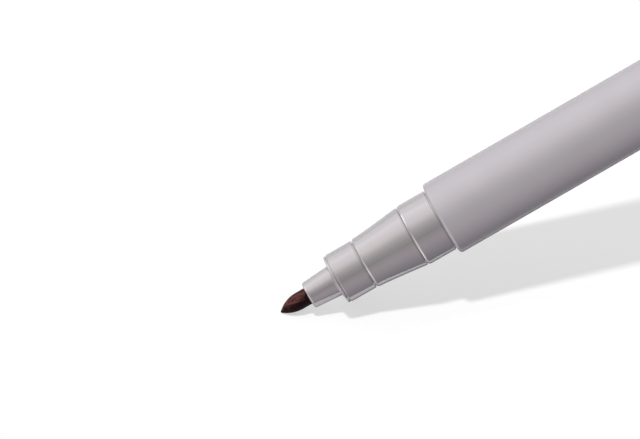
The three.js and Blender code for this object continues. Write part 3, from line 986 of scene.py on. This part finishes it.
def make_inner_cap():
    """A cup that closes over the nose and keeps the nib from drying."""
    start, end = ends("inner_cap")
    piece = turned("inner_cap_visual", [
        [end - INNER_CAP_END_WALL, 0],
        [end - INNER_CAP_END_WALL, INNER_CAP_BORE_RADIUS, INNER_CAP_ROUNDING],
        [start + INNER_CAP_CHAMFER, INNER_CAP_BORE_RADIUS],
        [start, INNER_CAP_BORE_RADIUS + INNER_CAP_CHAMFER, CRISP],
        [start, INNER_CAP_RADIUS, CRISP],
        [end, INNER_CAP_RADIUS, INNER_CAP_ROUNDING],
        [end, 0],
    ], NATURAL)
    stands_for(piece, "inner_cap", "cap")


def dress_reservoir():
    """The reservoir inside the barrel keeps its CAD meshes."""
    for node_name, material in (("reservoir_core", RESERVOIR), ("reservoir_film", FILM)):
        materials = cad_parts[node_name].data.materials
        materials.clear()
        materials.append(material)


def make_camera():
    """A long lens that has the nib's tip at its pixel of the picture."""
    place = Vector((
        (IMAGE_SIZE[0] / 2 - TIP_PIXEL[0]) / PIXELS_PER_MM,
        (TIP_PIXEL[1] - IMAGE_SIZE[1] / 2) / PIXELS_PER_MM,
        IMAGE_SIZE[0] / PIXELS_PER_MM * LENS / SENSOR,
    )) * MM
    spot = Vector((TIP, 0, AXIS_HEIGHT)) + VIEW_TO_WORLD @ place
    camera = add_object("camera", bpy.data.cameras.new("camera"))
    camera.data.lens = LENS
    camera.data.sensor_width = SENSOR
    camera.data.clip_start = NEAREST_SEEN
    camera.data.clip_end = FARTHEST_SEEN
    camera.matrix_world = Matrix.Translation(spot) @ VIEW_TO_WORLD.to_4x4()
    bpy.context.scene.camera = camera


def make_floor(nib):
    """White paper under the lowest point of the nib, seen only from above.

    Its near edge runs beside the pen's shadow, so the pen's lower side mirrors the studio there.
    The lens, gloss surfaces and clear ones see it white in the open. Matt ones get less light
    from it.
    """
    normal = VIEW_TO_WORLD @ FLOOR_NORMAL
    slope = ALONG.dot(FLOOR_NORMAL) / KEY_DIRECTION.dot(FLOOR_NORMAL)
    shadow = (VIEW_TO_WORLD @ (ALONG - KEY_DIRECTION * slope)).normalized()
    near = shadow.cross(normal)
    lowest = min((vertex.co for vertex in nib.data.vertices), key=normal.dot)
    edge = lowest - normal * (PAPER_CLEARANCE * MM) + near * (PAPER_MARGIN * MM)
    start, end = edge - shadow * PAPER_REACH, edge + shadow * PAPER_REACH
    away = -near * PAPER_REACH
    mesh = bpy.data.meshes.new("floor")
    mesh.from_pydata([start, end, end + away, start + away], [], [(0, 1, 2, 3)])

    material, nodes = new_material("white_paper")
    seen = nodes.add("ShaderNodeLightPath", output="Is Camera Ray")
    mirrored = seen.beside("Is Glossy Ray") + seen.beside("Is Transmission Ray")
    extra = seen * (PAPER_SEEN - PAPER_COLOUR) + mirrored * (PAPER_MIRRORED - PAPER_COLOUR)
    paper = nodes.add("ShaderNodeBsdfDiffuse", {}, {"Color": PAPER_COLOUR + extra})
    strength = seen * PAPER_LIFT + mirrored * PAPER_MIRRORED_LIFT
    lift = nodes.add("ShaderNodeEmission", {}, {"Strength": strength})
    front = nodes.add("ShaderNodeAddShader", {}, [paper, lift])
    clear = nodes.add("ShaderNodeBsdfTransparent")
    backfacing = nodes.add("ShaderNodeNewGeometry", output="Backfacing")
    surface = nodes.add("ShaderNodeMixShader", {}, [backfacing, front, clear])
    nodes.add("ShaderNodeOutputMaterial", {}, {"Surface": surface})
    mesh.materials.append(material)
    add_object("floor", mesh)


def make_key_light():
    """A sun from above that throws the pen's shadow."""
    key = add_object("key", bpy.data.lights.new("key", "SUN"))
    key.data.energy = KEY_STRENGTH
    key.data.angle = KEY_WIDTH
    key.visible_glossy = False
    key.rotation_mode = "QUATERNION"
    key.rotation_quaternion = (VIEW_TO_WORLD @ KEY_DIRECTION).to_track_quat("Z", "Y")


def make_world():
    """Soft light that changes around the pen, with more of it from beyond the nib."""
    world = bpy.data.worlds.new("world")
    bpy.context.scene.world = world
    world.use_nodes = True
    world.node_tree.nodes.clear()
    nodes = Nodes(world.node_tree)
    ray = nodes.add("ShaderNodeTexCoord", output="Generated")

    def towards(direction):
        return nodes.dot(ray, VIEW_TO_WORLD @ direction)

    to_camera = Vector((0, 0, 1))
    front = (to_camera - ALONG * to_camera.dot(ALONG)).normalized()
    above = front.cross(ALONG)
    turn = nodes.maths("ARCTAN2", towards(above), towards(front)) / math.tau + 0.5

    def around(levels):
        stops = []
        for angle, level, tint in levels:
            colour = [level / BRIGHTEST * channel for channel in tint]
            stops.append(((angle + 180) / 360, (*colour, 1.0)))
        return nodes.add("ShaderNodeValToRGB", {"stops": stops}, [turn], "Color")

    beyond = nodes.between(towards(-ALONG), BEYOND_FROM, BEYOND_FULLY)
    behind = nodes.between(towards(ALONG), BEHIND_FROM, BEHIND_FULLY)
    studio = nodes.blend(beyond, around(BESIDE), around(BEYOND))
    light = nodes.add("ShaderNodeBackground", {}, {
        "Color": nodes.blend(behind, studio, BEHIND),
        "Strength": BRIGHTEST,
    })
    white = nodes.add("ShaderNodeBackground", {}, {"Color": WHITE, "Strength": 1.0})
    camera_ray = nodes.add("ShaderNodeLightPath", output="Is Camera Ray")
    looked_at = camera_ray + camera_ray.beside("Is Transmission Ray")
    surface = nodes.add("ShaderNodeMixShader", {}, [looked_at, light, white])
    nodes.add("ShaderNodeOutputWorld", {}, {"Surface": surface})


nib = make_nib()
make_nose()
make_barrel()
make_end_plug()
make_cap()
make_inner_cap()
dress_reservoir()
make_camera()
make_floor(nib)
make_key_light()
make_world()

bpy.context.scene.view_settings.view_transform = "Standard"
